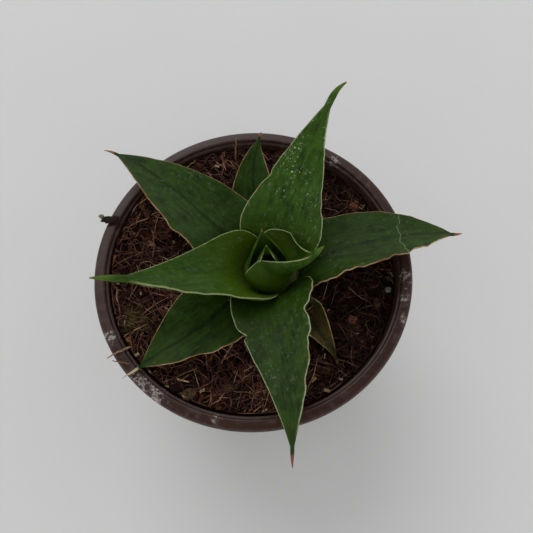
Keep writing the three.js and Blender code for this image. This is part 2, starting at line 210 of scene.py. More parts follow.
back = Vector((0, -math.cos(CAMERA_HEIGHT_ANGLE), math.sin(CAMERA_HEIGHT_ANGLE)))
lens = bpy.data.cameras.new("camera")
lens.lens = 38.6
lens.clip_start = 0.01
camera = bpy.data.objects.new("camera", lens)
camera.matrix_world = (
    Matrix.Translation(CAMERA_AIM + back * CAMERA_DISTANCE)
    @ Matrix.Rotation(math.pi / 2 - CAMERA_HEIGHT_ANGLE, 4, "X")
    @ Matrix.Rotation(CAMERA_TILT, 4, "Z")
)
bpy.context.scene.collection.objects.link(camera)
bpy.context.scene.camera = camera
bpy.context.scene.view_settings.view_transform = "Standard"

# %% Window and room
window_light = bpy.data.lights.new("window_light", "SUN")
window_light.angle = math.radians(40)  # as wide as a large window nearby
window_light.energy = 0.7
window = bpy.data.objects.new("window", window_light)
window.rotation_euler = Vector((0.3, -0.8, -1.0)).to_track_quat("-Z", "Y").to_euler()
bpy.context.scene.collection.objects.link(window)

room = bpy.data.worlds.new("pale_room")
room.use_nodes = True
room.node_tree.nodes.clear()
add = partial(add_node, room.node_tree)
height = add("SeparateXYZ", [add("TexCoord", output="Generated")], "Z")
walls = add("Mix", {0: add("MapRange", [height, 0.3, 0.95]), 6: "#f4f4f4", 7: "#5a5a5a"}, 2,
            data_type="RGBA")
add("OutputWorld", {"Surface": add("Background", {"Color": walls, "Strength": 1.46})})
bpy.context.scene.world = room

# %% [markdown]
# The floor is a plain painted board. It is one large face, with the faintest mottle in its paint so
# that it doesn't read as empty space.

# %% Floor
board_paint, add, place = new_material("matt_board_paint")
mottle = add("TexNoise", {"Vector": place, "Scale": 9.0, "Detail": 2.0})
dress(add, "#dcdddc", [(mottle, "#e1e2e1")], {"Roughness": 0.85})

FLOOR_HALF = 3000
floor = make_mesh("floor_board", [
    (-FLOOR_HALF, -FLOOR_HALF, 0), (FLOOR_HALF, -FLOOR_HALF, 0),
    (FLOOR_HALF, FLOOR_HALF, 0), (-FLOOR_HALF, FLOOR_HALF, 0)], [(0, 1, 2, 3)])
floor.data.materials.append(board_paint)

# %% [markdown]
# ## The nursery pot
#
# The pot is injection-moulded polypropylene: a tapering body, a hanging collar skirt and a smooth
# rounded rim with a narrow step inside it. It is a turned shape, so one profile is drawn with arcs
# at its rounded corners and spun with closely spaced segments. The profile starts and ends on the
# axis, which closes the floor of the pot.

# %% Pot profile
RIM_WIDTH = 4.4
LEDGE_WIDTH = 1.1
LEDGE_DROP = 1.2
COLLAR_DEPTH = 13.0
NECK_DROP = 3.4  # from the rim down to where the collar meets the body
STACK_LINE = 0.12  # half the depth of a stacking line
WALL = 1.6
FOOT_ROUND = 1.2
FLOOR = 2.4
BASE_RADIUS = 43.0
BAND = RIM_RADIUS - RIM_WIDTH
INNER = BAND - LEDGE_WIDTH


def rounded(corners, steps=5):
    """A chain of corners (r, z, radius), each replaced by a short smooth bend."""
    chain = []
    for k, (r, z, radius) in enumerate(corners):
        here = Vector((r, z))
        if radius == 0 or k in (0, len(corners) - 1):
            chain.append(here)
            continue
        before = Vector(corners[k - 1][:2]) - here
        after = Vector(corners[k + 1][:2]) - here
        start = here + before.normalized() * min(radius, before.length / 2)
        end = here + after.normalized() * min(radius, after.length / 2)
        for step in range(steps + 1):
            t = step / steps
            chain.append(start.lerp(here, t).lerp(here.lerp(end, t), t))
    return chain


def wall_radius(z):
    """Outer radius of the tapering body at a height."""
    return BASE_RADIUS + (INNER + WALL - BASE_RADIUS) * (z - FOOT_ROUND) / (
        POT_HEIGHT - NECK_DROP - FOOT_ROUND)


STEP_HEIGHTS = [24.0, 46.0]  # two faint stacking lines round the body
STEP_RISE = 0.7
body_lines = []
for z in STEP_HEIGHTS:
    body_lines.append((wall_radius(z) + STACK_LINE, z, 0.2))
    body_lines.append((wall_radius(z + STEP_RISE) - STACK_LINE, z + STEP_RISE, 0.2))
pot_profile = rounded([
    (0, 0.4, 0),
    (BASE_RADIUS - 8, 0.4, 0.5),
    (BASE_RADIUS - 7, 0, 0.4),
    (BASE_RADIUS, 0, 1.8),
    *body_lines,
    (wall_radius(POT_HEIGHT - NECK_DROP), POT_HEIGHT - NECK_DROP, 0.4),
    (RIM_RADIUS - 1.8, POT_HEIGHT - NECK_DROP, 0.4),
    (RIM_RADIUS - 2.9, POT_HEIGHT - COLLAR_DEPTH, 0.3),
    (RIM_RADIUS - 1.1, POT_HEIGHT - COLLAR_DEPTH, 0.5),
    (RIM_RADIUS - 0.7, POT_HEIGHT - 6.5, 0.3),
    (RIM_RADIUS - 0.5, POT_HEIGHT - 6.1, 0.3),
    (RIM_RADIUS, POT_HEIGHT - 0.1, 1.5),
    (BAND + 0.15, POT_HEIGHT, 0.8),
    (BAND, POT_HEIGHT - LEDGE_DROP, 0.25),
    (INNER + 0.1, POT_HEIGHT - LEDGE_DROP - 0.1, 0.5),
    (INNER, POT_HEIGHT - LEDGE_DROP - 1.2, 0.4),
    (BASE_RADIUS - WALL, FLOOR, 1.6),
    (0, FLOOR, 0),
])
print(f"pot profile: {len(pot_profile)} points")


def turned(name, profile, sectors, centre=(0, 0), wobble=None):
    """A spun profile that starts and ends on its axis; wobble may move each point a little."""
    points = [(centre[0], centre[1], profile[0].y)]
    for r, z in profile[1:-1]:
        for k in range(sectors):
            turn = 2 * math.pi * k / sectors
            point = Vector((centre[0] + r * math.cos(turn), centre[1] + r * math.sin(turn), z))
            points.append(point + wobble(point) if wobble else point)
    points.append((centre[0], centre[1], profile[-1].y))
    faces = [tuple(reversed(face)) for face in skin_faces(len(profile) - 2, sectors)]
    return make_mesh(name, points, faces)


pot = turned("pot_moulding", pot_profile, 192)

# %% [markdown]
# Water leaves through a ring of round holes, each with a channel that runs out under the base. One
# cutter is instanced round a circle and cut away in a single Boolean. The edges of the cuts stay
# sharp, while the turned wall stays smooth.

# %% Drain holes
DRAINS = {"Count": 8, "Circle": 31 * MM, "Hole radius": 3.5 * MM, "Channel depth": 1.2 * MM}
tree, add, sizes = new_tree("drain_ring", DRAINS)
ring = add("GeometryNodeMeshCircle", {"Vertices": sizes["Count"], "Radius": sizes["Circle"]})
ring = add("GeometryNodeTransform", {"Geometry": ring, "Rotation": (0, 0, math.pi / DRAINS["Count"])})
outwards = add("FunctionNodeAlignRotationToVector", {
    "Vector": add("GeometryNodeInputPosition")}, axis="X")
hole = add("GeometryNodeMeshCylinder", {
    "Vertices": 32, "Radius": sizes["Hole radius"], "Depth": 12 * MM})
channel_size = add("CombineXYZ", [
    20 * MM,
    add("Math", [sizes["Hole radius"], 1.6], operation="MULTIPLY"),
    add("Math", [sizes["Channel depth"], 2.0], operation="MULTIPLY")])
channel = add("GeometryNodeMeshCube", {"Size": channel_size})
channel = add("GeometryNodeTransform", {"Geometry": channel, "Translation": (10 * MM, 0, 0)})
cutter = add("GeometryNodeMeshBoolean", {"Mesh 2": hole}, operation="UNION", solver="EXACT")
tree.links.new(channel, cutter.node.inputs["Mesh 2"])
cutters = add("GeometryNodeInstanceOnPoints", {
    "Points": ring, "Instance": cutter, "Rotation": outwards})
cut = add("GeometryNodeMeshBoolean", {
    "Mesh 1": sizes["Geometry"],
    "Mesh 2": add("GeometryNodeRealizeInstances", {"Geometry": cutters}),
}, operation="DIFFERENCE", solver="EXACT")
add("NodeGroupOutput", {"Geometry": cut})
grown(pot, tree, DRAINS)
pot.data.shade_smooth()
pot.data.set_sharp_from_angle(angle=math.radians(38))

# %% [markdown]
# Moulded polypropylene is a satin plastic, never glossy: its skin is a fine orange peel about half a
# millimetre across. A used pot gathers pale dust in the step inside the rim and in scattered
# specks, fine hoop scratches from stacking, and chalky lime where water has dried on the rim.

# %% Pot plastic
LIME_PLACES = [
    (-41, -42, 8.0), (-34, -47.5, 6.0), (-52, -25, 6.0), (57, -6, 6.0), (55.5, -14, 5.0),
    (54, -22, 3.5), (-14, -55, 3.5), (34, 45, 5.0)]

pot_plastic, add, place = new_material("moulded_polypropylene")
parts = add("SeparateXYZ", [place]).node.outputs
radius = add("VectorMath", [add("CombineXYZ", [parts["X"], parts["Y"]])], "Value", operation="LENGTH")

# size in mm, detail and roughness of the noise behind clouds, dust, lime, wear and orange peel
cloud, dust_grain, crust_grain, wear_grain, peel = [
    add("TexNoise", {"Vector": place, "Scale": 1 / (size * MM), "Detail": detail, "Roughness": rough})
    for size, detail, rough in ((14, 4, 0.5), (0.7, 3, 0.7), (1.3, 4, 0.8), (3, 5, 0.7), (0.5, 2, 0.5))]

# dust: fine specks everywhere, thicker inside the step and low on the wall
in_step = add("MapRange", [radius, (BAND + 0.5) * MM, (BAND - 0.4) * MM, 0, 0.12])
near_floor = add("MapRange", [parts["Z"], 26 * MM, 0, 0, 0.07])
dust = add("Math", [in_step, near_floor], operation="ADD")
dust = add("Math", [dust, dust_grain], operation="ADD")
dust = add("MapRange", [dust, 0.68, 0.84, 0, 0.3])

# lime: chalky crusts around the places where drops have dried
lime = 0.0
for x, y, reach in LIME_PLACES:
    away = add("VectorMath", [place, Vector((x, y, POT_HEIGHT)) * MM], "Value", operation="DISTANCE")
    near = add("MapRange", [away, reach * MM, 0.3 * reach * MM, 0, 0.25])
    lime = add("Math", [near, lime], operation="ADD")
lime = add("Math", [lime, crust_grain], operation="ADD")
lime = add("MapRange", [lime, 0.74, 0.86, 0, 0.8])

# hoop scratches: noise that is tight in height and radius, and long round the pot
turn = add("Math", [parts["Y"], parts["X"]], operation="ARCTAN2")
hoop = add("CombineXYZ", [
    add("Math", [value, times], operation="MULTIPLY")
    for value, times in ((turn, 3), (radius, 1 / (0.35 * MM)), (parts["Z"], 1 / (0.8 * MM)))])
scratch = add("TexNoise", {"Vector": hoop, "Scale": 1.0, "Detail": 3.0})
scratch = add("MapRange", [scratch, 0.62, 0.78, 0, 0.3])

# rubbed patches about 3 mm across, with a painted sheen: paler and duller than the plastic, and most of all
# on the rim
rubbed_and_sheen = add("MapRange", [wear_grain, 0.5, 0.68, 0, 0.32])
rim_sheen_and_wear = add("MapRange", [
    parts["Z"], (POT_HEIGHT - COLLAR_DEPTH) * MM, (POT_HEIGHT - 2) * MM, 0.25, 1])
rubbed_and_sheen = add("Math", [rubbed_and_sheen, rim_sheen_and_wear], operation="MULTIPLY")

worn = add("Math", [dust, lime], operation="MAXIMUM")
worn = add("Math", [worn, rubbed_and_sheen], operation="MAXIMUM")
rough = add("MapRange", [worn, 0, 0.7, 0.33, 0.85])
# the rubbed patches are part wear and part painted sheen, lightest on the rim
layers = [(cloud, "#3c261f"), (dust, "#8d7f76"), (lime, "#b2aca3"), (scratch, "#7c6d65"),
          (rubbed_and_sheen, "#62524b")]
dress(add, "#2e1a14", layers, {"Roughness": rough, "IOR": 1.49, "Specular IOR Level": 0.32},
      add("Math", [peel, lime], operation="ADD"), (0.25, 0.05))
finish_piece(pot, pot_plastic, "pot_plastic", "pot")

# %% [markdown]
# ## The potting mix
#
# The mix is shredded coconut coir with composted bark. Its body is one closed plug with a rough top:
# rolling hills of a few centimetres, lumps of a few millimetres and a fine crumb. The same low hills
# as in the CAD model come first, so everything that lies on them still fits.

# %% Mix surface
MIX_DROP = 4.5
MIX_TILT = 0.032
MIX_BUMP = 0.5
MIX_EDGE = 54.0
BANK_HEIGHT = 1.3
BANK_WIDTH = 6
CRUMB_SINK = 0.4  # the crumbs start this far below the smooth surface


def mix_top(x, y):
    """Height of the smooth surface, as in the CAD model."""
    bumps = math.sin(x / 6.5 + 1) * math.cos(y / 5.5) + 0.6 * math.sin((x + y) / 4.2)
    return POT_HEIGHT - MIX_DROP - MIX_TILT * x + MIX_BUMP * bumps


def crumb_height(x, y):
    """The smooth surface with lumps and crumbs, banked against the wall at the left and front."""
    lumps = 1.3 * noise.noise((x / 5.2, y / 5.2, 3.1)) + 0.9 * abs(noise.noise((x / 2.1, y / 2.1, 7.7)))
    crumbs = 0.4 * noise.noise((x / 0.9, y / 0.9, 5.3))
    reach = math.hypot(x, y)
    side = min(max(0.5 - 0.35 * (x + y) / MIX_EDGE, 0), 1)
    banked = BANK_HEIGHT * side * max(0.0, (reach - MIX_EDGE + BANK_WIDTH) / BANK_WIDTH) ** 2
    return mix_top(x, y) + lumps + crumbs - CRUMB_SINK + banked


MIX_SECTORS = 300
MIX_ROWS = 96
MIX_FOOT = FLOOR + 1.5
MIX_FOOT_RADIUS = 41.0
mix_points = [(0, 0, MIX_FOOT)]
for row in range(MIX_ROWS + 1):
    reach = MIX_FOOT_RADIUS if row == 0 else MIX_EDGE * (1 - (row - 1) / MIX_ROWS)
    for k in range(MIX_SECTORS):
        turn = 2 * math.pi * k / MIX_SECTORS
        x, y = reach * math.cos(turn), reach * math.sin(turn)
        mix_points.append((x, y, MIX_FOOT if row == 0 else crumb_height(x, y)))
mix_points.append((0, 0, crumb_height(0, 0)))
mix_faces = skin_faces(MIX_ROWS + 1, MIX_SECTORS)
mix = make_mesh("mix_plug", mix_points, mix_faces)
mix_bed_faces = [face for face in mix_faces if min(face) > MIX_SECTORS]
print(f"mix: {len(mix.data.polygons)} faces, {len(mix_bed_faces)} of them on top")

# %% [markdown]
# The damp coir is dark, its hollows are painted nearly black as shade, and its dry tips are rust brown, so
# height drives the colour. The right side, where the mix lies lowest, is painted darker as the shade under
# the leaves. One patch near the left wall has a film of dusty olive algae.

# %% Mix material
ALGAE_PLACE = Vector((-44, -18, POT_HEIGHT - 4)) * MM


def algae_mask(add, place):
    """A ragged patch of algae, from 0 to 1."""
    away = add("VectorMath", [place, ALGAE_PLACE], "Value", operation="DISTANCE")
    ragged = add("TexNoise", {"Vector": place, "Scale": 1 / (3 * MM), "Detail": 3.0})
    edge = add("MapRange", [away, 13 * MM, 3 * MM, -0.35, 0.2])
    edge = add("Math", [edge, ragged], operation="ADD")
    return add("MapRange", [edge, 0.5, 0.72, 0, 0.75])


def painted_shade_mask(add, place):
    """Painted shade of the leaves on the mix, most of all on the right, where it lies lowest. From 0 to 1.
    """
    side = add("SeparateXYZ", [place], "X")
    side = add("MapRange", [side, 8 * MM, 32 * MM, -0.1, 0.4])
    clouds = add("TexNoise", {"Vector": place, "Scale": 1 / (11 * MM), "Detail": 3.0})
    clouds = add("Math", [side, clouds], operation="ADD")
    return add("MapRange", [clouds, 0.45, 0.8, 0, 0.55])


mix_peat, add, place = new_material("damp_coir_peat")
crumb = add("TexNoise", {"Vector": place, "Scale": 1 / (1.1 * MM), "Detail": 5.0, "Roughness": 0.7})
patch = add("TexNoise", {"Vector": place, "Scale": 1 / (9 * MM), "Detail": 2.0})
layers = [
    # painted shade: the near-black base shows in the low crumbs, and only their tops are lighter
    (add("MapRange", [crumb, 0.4, 0.68]), "#22110b"),
    (add("MapRange", [patch, 0.5, 0.75, 0, 0.4]), "#30180f"),
    # painted shade: the right side darkened, as under the leaves
    (painted_shade_mask(add, place), "#060303"),
    (algae_mask(add, place), "#4b4124")]
dress(add, "#050201", layers, {"Roughness": 0.95, "Specular IOR Level": 0.1}, crumb, (0.8, 0.5))
finish_piece(mix, mix_peat, "coir_mix", "potting_mix")

# %% [markdown]
# ## Coir strands and bark fines
#
# What the eye reads as coir is thousands of loose strands. Each starts as a straight line dropped on
# the surface at a random angle. Noise with a different slice for every strand bends it, and a thin
# tapered tube is swept along it. Every strand keeps a random tone for the material.

# %% Coir strand tree
COIR = {"Density": 270000.0, "Shortest": 4 * MM, "Longest": 17 * MM, "Thickness": 0.17 * MM,
        "Curl": 2.6 * MM, "Curl size": 9 * MM, "Lean": 0.22, "Reach": (MIX_EDGE - 0.6) * MM,
        "Points": 8, "Seed": 4}


def scattered(add, asked, item, scale, heading_seed, chances):
    """Copies of an item at random places and angles, each with random numbers of its own."""
    dropped = add("GeometryNodeDistributePointsOnFaces", {
        "Mesh": asked["Geometry"], "Density": asked["Density"], "Seed": asked["Seed"]})
    most = asked["Lean"]
    least = add("Math", [most, -1.0], operation="MULTIPLY")
    heading = add("FunctionNodeRandomValue", {
        0: add("CombineXYZ", [least, least]), 1: add("CombineXYZ", [most, most, 2 * math.pi]),
        "Seed": heading_seed}, data_type="FLOAT_VECTOR")
    copies = add("GeometryNodeInstanceOnPoints", {
        "Points": dropped, "Instance": item, "Rotation": heading, "Scale": scale})
    for label, seed in chances.items():
        chance = add("FunctionNodeRandomValue", {"Seed": seed}, 1, data_type="FLOAT")
        copies = add("GeometryNodeStoreNamedAttribute", {
            "Geometry": copies, "Name": label, "Value": chance}, domain="INSTANCE")
    return add("GeometryNodeRealizeInstances", {"Geometry": copies})


def shaken(add, geometry, slices, fineness, stretch, amount, reach):
    """Moves points by noise, with a slice for each copy, then back inside the pot's wall."""
    own_slice = add("GeometryNodeInputNamedAttribute", {"Name": "slice"}, data_type="FLOAT")
    position = add("GeometryNodeInputPosition")
    shift = add("TexNoise", {
        "Vector": position, "W": add("Math", [own_slice, slices], operation="MULTIPLY"),
        "Scale": fineness, "Detail": 1.0}, "Color", noise_dimensions="4D")
    shift = add("VectorMath", [shift, (0.5, 0.5, 0.5)], operation="SUBTRACT")
    shift = add("VectorMath", [shift, stretch], operation="MULTIPLY")
    shift = add("VectorMath", {0: shift, "Scale": amount}, operation="SCALE")
    geometry = add("GeometryNodeSetPosition", {"Geometry": geometry, "Offset": shift})
    flat = add("VectorMath", [position, (1, 1, 0)], operation="MULTIPLY")
    away = add("VectorMath", [flat], "Value", operation="LENGTH")
    share = add("Math", [reach, away], operation="DIVIDE")
    share = add("Math", [share, 1.0], operation="MINIMUM")
    pull = add("Math", [share, 1.0], operation="SUBTRACT")
    pull = add("VectorMath", {0: flat, "Scale": pull}, operation="SCALE")
    return add("GeometryNodeSetPosition", {"Geometry": geometry, "Offset": pull})


def coir_tree(name, sizes, material):
    """Strands that lie across a surface, curled and tapered."""
    tree, add, asked = new_tree(name, sizes)
    line = add("GeometryNodeCurvePrimitiveLine", {"Start": (-0.5, 0, 0), "End": (0.5, 0, 0)})
    line = add("GeometryNodeResampleCurve", {"Curve": line, "Count": asked["Points"]})
    length = add("FunctionNodeRandomValue", {
        2: asked["Shortest"], 3: asked["Longest"], "Seed": 11}, 1, data_type="FLOAT")
    strands = scattered(add, asked, line, length, asked["Seed"], {"tone": 21, "slice": 22, "girth": 23})
    fineness = add("Math", [1.0, asked["Curl size"]], operation="DIVIDE")
    strands = shaken(add, strands, 900.0, fineness, (2.0, 2.0, 0.7), asked["Curl"], asked["Reach"])
    bow = add("Math", [add("GeometryNodeSplineParameter"), math.pi], operation="MULTIPLY")
    bow = add("Math", [bow], operation="SINE")
    taper = add("MapRange", [bow, 0, 0.5, 0.25, 1])
    girth = add("GeometryNodeInputNamedAttribute", {"Name": "girth"}, data_type="FLOAT")
    girth = add("MapRange", [girth, 0, 1, 0.45, 1.5])
    tubes = add("GeometryNodeCurveToMesh", {
        "Curve": strands,
        "Profile Curve": add("GeometryNodeCurvePrimitiveCircle", {
            "Resolution": 3, "Radius": asked["Thickness"]}),
        "Scale": add("Math", [taper, girth], operation="MULTIPLY"), "Fill Caps": True})
    tubes = add("GeometryNodeSetMaterial", {"Geometry": tubes, "Material": material})
    add("NodeGroupOutput", {"Geometry": tubes})
    return tree


# %% [markdown]
# A coir strand is a dull, bristly fibre. Its tone runs from nearly black when wet to pale straw on
# the few that have dried and bleached.

# %% Coir material
coir_fibre, add, place = new_material("coconut_coir_fibre")
tone = add("Attribute", output="Fac", attribute_name="tone")
grime = add("TexNoise", {"Vector": place, "Scale": 1 / (2 * MM), "Detail": 3.0})
layers = [
    (add("Math", [tone, 1.6], operation="POWER"), "#8a6052"),
    (add("MapRange", [tone, 0.84, 1]), "#c09a76"),
    (add("MapRange", [grime, 0.45, 0.7, 0, 0.65]), "#180a08"),
    # painted shade: strands on the right darkened, as under the leaves
    (painted_shade_mask(add, place), "#1c0b09"),
    (algae_mask(add, place), "#6a5a38")]
dress(add, "#190a07", layers, {"Roughness": 0.8, "Specular IOR Level": 0.1})

# %% Lay the strands


def mix_bed(name, height):
    """A copy of the mix's top surface, to grow loose things on."""
    return make_mesh(name, [Vector(p) + Vector((0, 0, height)) for p in mix_points], mix_bed_faces)


COIR_LAYERS = {
    "coir_strands": COIR,
    "coir_fluff": {**COIR, "Density": 240000.0, "Shortest": 1.5 * MM, "Longest": 6 * MM,
                   "Thickness": 0.1 * MM, "Curl": 2.0 * MM, "Curl size": 4 * MM, "Lean": 0.6,
                   "Points": 5, "Seed": 9},
}
for name, sizes in COIR_LAYERS.items():
    strands = grown(mix_bed(name, 0.7), coir_tree(name, sizes, coir_fibre), sizes)
    finish_piece(strands, coir_fibre, "coir_mix")

# %% [markdown]
# Bark fines are flat splinters. Each is a small block with a few faces, stretched at random, laid
# nearly flat and knocked out of true by noise. Small crumbs come from the same tree.

# %% Bark fines
FINES = {"Density": 170000.0, "Smallest": 1.2 * MM, "Largest": 5.5 * MM, "Lean": 0.4,
         "Reach": (MIX_EDGE - 0.4) * MM, "Seed": 5}


def fines_tree(name, sizes, material):
    """Splinters that lie on a surface."""
    tree, add, asked = new_tree(name, sizes)
    block = add("GeometryNodeMeshCube", {
        "Size": (1, 1, 1), "Vertices X": 4, "Vertices Y": 3, "Vertices Z": 2})
    length = add("FunctionNodeRandomValue", {
        2: asked["Smallest"], 3: asked["Largest"], "Seed": 32}, 1, data_type="FLOAT")
    build = add("FunctionNodeRandomValue", {
        0: (0.8, 0.16, 0.08), 1: (1.0, 0.5, 0.22), "Seed": 33}, data_type="FLOAT_VECTOR")
    build = add("VectorMath", {0: build, "Scale": length}, operation="SCALE")
    splinters = scattered(add, asked, block, build, 31, {"tone": 41, "slice": 42})
    amount = add("Math", [asked["Largest"], 0.18], operation="MULTIPLY")
    splinters = shaken(add, splinters, 700.0, 1 / (0.8 * MM), (1, 1, 1), amount, asked["Reach"])
    splinters = add("GeometryNodeSetMaterial", {"Geometry": splinters, "Material": material})
    add("NodeGroupOutput", {"Geometry": splinters})
    return tree


bark_fines, add, place = new_material("composted_bark_fines")
tone = add("Attribute", output="Fac", attribute_name="tone")
grain = add("TexNoise", {"Vector": place, "Scale": 1 / (0.6 * MM), "Detail": 4.0, "Roughness": 0.65})
layers = [
    (tone, "#56301e"),
    (add("MapRange", [tone, 0.88, 1, 0, 0.7]), "#8f6238"),
    (add("MapRange", [grain, 0.45, 0.7, 0, 0.6]), "#0a0403"),
    # painted shade: fines on the right darkened, as under the leaves
    (painted_shade_mask(add, place), "#0e0504"),
    (algae_mask(add, place), "#54482a")]
dress(add, "#0a0403", layers, {"Roughness": 0.85, "Specular IOR Level": 0.12}, grain, (0.6, 0.2))

FINES_LAYERS = {
    "bark_fines": FINES,
    "peat_crumbs": {**FINES, "Density": 300000.0, "Smallest": 0.4 * MM, "Largest": 1.3 * MM,
                    "Seed": 6},
}
for name, sizes in FINES_LAYERS.items():
    splinters = grown(mix_bed(name, 0.1), fines_tree(name, sizes, bark_fines), sizes)
    finish_piece(splinters, bark_fines, "coir_mix")

# %% [markdown]
# ## The leaves
#
# A snake plant's leaf is a thick fleshy strap. It clasps the stem at its foot, opens into a shallow
# channel and ends in a round point: plump and green while it is young, a thin dry spine when it is
# old. All the leaves follow one rule, so one function makes them from a table of how each has
# grown. The table matches the CAD model's, and the rule is followed with far finer steps here.

# %% Leaf table
stem_low, stem_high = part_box("stem")
STEM_AXIS = ((stem_low + stem_high) / 2 / MM).to_2d()
STEM_SLOPE = 1.2
STEM_PEAK = 11.1

# azimuth and swing: the direction it sets off in, and how far it has turned at its end
# seat: distance of its foot from the stem's axis; length and width of the blade
# rise: climb at the foot and at the end; knee: extra climb at the foot; roll: sideways lean
# foot, widest, taper: the outline; curl: half angle of the channel, at the foot and at the end
# thick: thickness at the foot; point: length, radius, and its turn sideways and upwards
# shade: how much painted shade darkens it; dust: how much lies on it; dry: where its point turns to cork
# scar: how far along a bend has left a pale line across it, if one has
# wave: depth of the ripple along the margins; nicks: (side, along, depth, length) of old wounds
NO_SCAR = -99  # far before the foot, so no line is drawn
LEAF_KEYS = (
    "name azimuth swing seat length width rise knee roll foot widest taper curl thick point "
    "shade dust dry scar skin wave nicks").split()
LEAVES = [dict(zip(LEAF_KEYS, row)) for row in (
    ("leaf_spear", 95, 0, 2.6, 11, 13, (95, 90), 0, 0, 0.9, 0.3, 1, (125, 100), 1,
     (0.8, 0.35, 0, 0), 0.8, 0.1, 0.9, NO_SCAR, "young", 0.05, ()),
    ("leaf_young", 100, 0, 5.6, 12.5, 23, (82, 66), 0, 0, 0.95, 0.15, 1.1, (112, 80), 1.5,
     (1.2, 0.45, 0, 0), 0.8, 0.1, 0.4, NO_SCAR, "heart", 0.1, ()),
    ("leaf_inner", 350, 42, 7.5, 18, 40, (72, 40), 10, -40, 0.95, 0.12, 0.8, (128, 90), 2.2,
     (4, 1.1, -10, -10), 0.78, 0.2, 0.9, NO_SCAR, "young", 0.2, ()),
    ("leaf_left", 194, -14, 9.6, 49, 37, (38, 12), 35, 16, 0.92, 0.08, 0.8, (92, 25), 2.8,
     (8.5, 1.2, 6, 4), 0.82, 0.3, 0.85, NO_SCAR, "young", 0.5, ()),
    ("leaf_back_right", 68, -11, 10.5, 60, 33, (40, 25), 35, 0, 0.7, 0.18, 0.9, (60, 22), 3,
     (7.2, 1.2, -40, 0), 1, 1, 0.8, NO_SCAR, "mature", 0.7, ((1, 27, 1.0, 3.5), (-1, 21, 0.7, 3))),
    ("leaf_front", 278, -11, 10.5, 62.5, 33, (36, 2), 35, 24, 0.7, 0.1, 1.1, (60, 22), 3,
     (4.5, 0.6, 4, -12), 0.63, 0.4, 0.1, NO_SCAR, "mature", 0.8,
     ((-1, 19, 2.2, 3.4), (1, 20, 1.2, 4), (1, 29, 1.0, 3))),
    ("leaf_back_left", 138, 10, 12.5, 64, 33, (22, 0), 35, 20, 0.6, 0.25, 1.6, (45, 22), 3,
     (5, 0.55, 28, 10), 0.9, 0.35, 0.1, NO_SCAR, "old", 0.7, ()),
    ("leaf_right", 12, -16, 12.5, 59, 32, (18, 0), 35, -27, 0.66, 0.3, 2, (50, 25), 3,
     (3.4, 0.6, 8, 10), 0.88, 0.35, 0.1, 40, "old", 1.15, ()),
    ("leaf_back_small", 99, -30, 14, 43, 19.5, (18, 16), 0, -8, 0.6, 0.3, 1.5, (30, 22), 2.6,
     (2.4, 0.5, 0, 0), 0.85, 0.1, 0.1, NO_SCAR, "old", 0.55, ()),
    ("leaf_front_left", 219, -8, 14.5, 45, 30, (18, -4), 30, 10, 0.6, 0.24, 1.55, (40, 22), 2.8,
     (7, 0.5, 2, 8), 0.9, 0.2, 0, NO_SCAR, "faded", 0.75, ()),
    ("leaf_withered", 310, -22, 14.5, 27, 15, (16, -8), 0, 0, 0.6, 0.28, 0.9, (40, 50), 1.3,
     (1.6, 0.4, 0, 0), 0.7, 0.2, 0, NO_SCAR, "withered", 0.6, ()),
)]

# %% [markdown]
# The midrib is walked in small steps along the direction of growth. At each station the width is
# bent round an arc, and the thickness is laid on both sides of it.

# %% Leaf growth
KNEE_SHARE = 0.1
CURL_SHARE = 0.2
SHOULDER_BEND = 0.06
MIDRIB_STEPS = 240


def lerp(a, b, t):
    """The value a share t of the way from a to b."""
    return a + (b - a) * t


def shoulder(reach):
    """Height of the stem's sloping shoulder at a distance from its axis."""
    return POT_HEIGHT + STEM_PEAK - STEM_SLOPE * reach


def half_width(leaf, s):
    """Half width of the blade at a share of its length."""
    if s < leaf["widest"]:
        before = (leaf["widest"] - s) / leaf["widest"]
        return leaf["width"] / 2 * (leaf["foot"] + (1 - leaf["foot"]) * (1 - before * before))
    after = (s - leaf["widest"]) / (1 - leaf["widest"])
    full = math.hypot(1, SHOULDER_BEND) - SHOULDER_BEND
    after = (math.hypot(after, SHOULDER_BEND) - SHOULDER_BEND) / full
    return max(leaf["width"] / 2 * (1 - after ** leaf["taper"]), leaf["point"][1])


def growth(leaf, distance):
    """Directions along, left and up at a distance along the midrib."""
    s = min(distance / leaf["length"], 1)
    past = max(distance - leaf["length"], 0) / leaf["point"][0]
    azimuth = math.radians(leaf["azimuth"] + leaf["swing"] * s * s + leaf["point"][2] * past)
    knee = leaf["knee"] * math.exp(-s / KNEE_SHARE)
    climb = math.radians(lerp(*leaf["rise"], s) + knee + leaf["point"][3] * past)
    along = Vector((math.cos(azimuth) * math.cos(climb), math.sin(azimuth) * math.cos(climb),
                    math.sin(climb)))
    roll = math.radians(leaf["roll"]) * min(s / KNEE_SHARE / 3, 1)
    left = Matrix.Rotation(roll, 3, along) @ Vector((-math.sin(azimuth), math.cos(azimuth), 0))
    return along, left, along.cross(left)


def midrib(leaf):
    """Points at even steps from the foot on the stem's shoulder to the tip."""
    start = math.radians(leaf["azimuth"])
    place = Vector((STEM_AXIS.x + leaf["seat"] * math.cos(start),
                    STEM_AXIS.y + leaf["seat"] * math.sin(start), shoulder(leaf["seat"])))
    step = (leaf["length"] + leaf["point"][0]) / MIDRIB_STEPS
    points = [place.copy()]
    for k in range(MIDRIB_STEPS):
        place += growth(leaf, (k + 0.5) * step)[0] * step
        points.append(place.copy())
    return points


def point_between(points, place):
    """A point between two neighbours of an evenly spaced list."""
    k = min(int(place), len(points) - 2)
    return points[k].lerp(points[k + 1], place - k)


# %% [markdown]
# Three things turn the plain rule into a leaf. The hardened margin is a round bead, thicker than the
# blade's thin edge. The margin ripples a little. Old wounds have healed as shallow nicks. The mesh
# also keeps, for the material, how far each point is from the midrib, the foot and the margin.

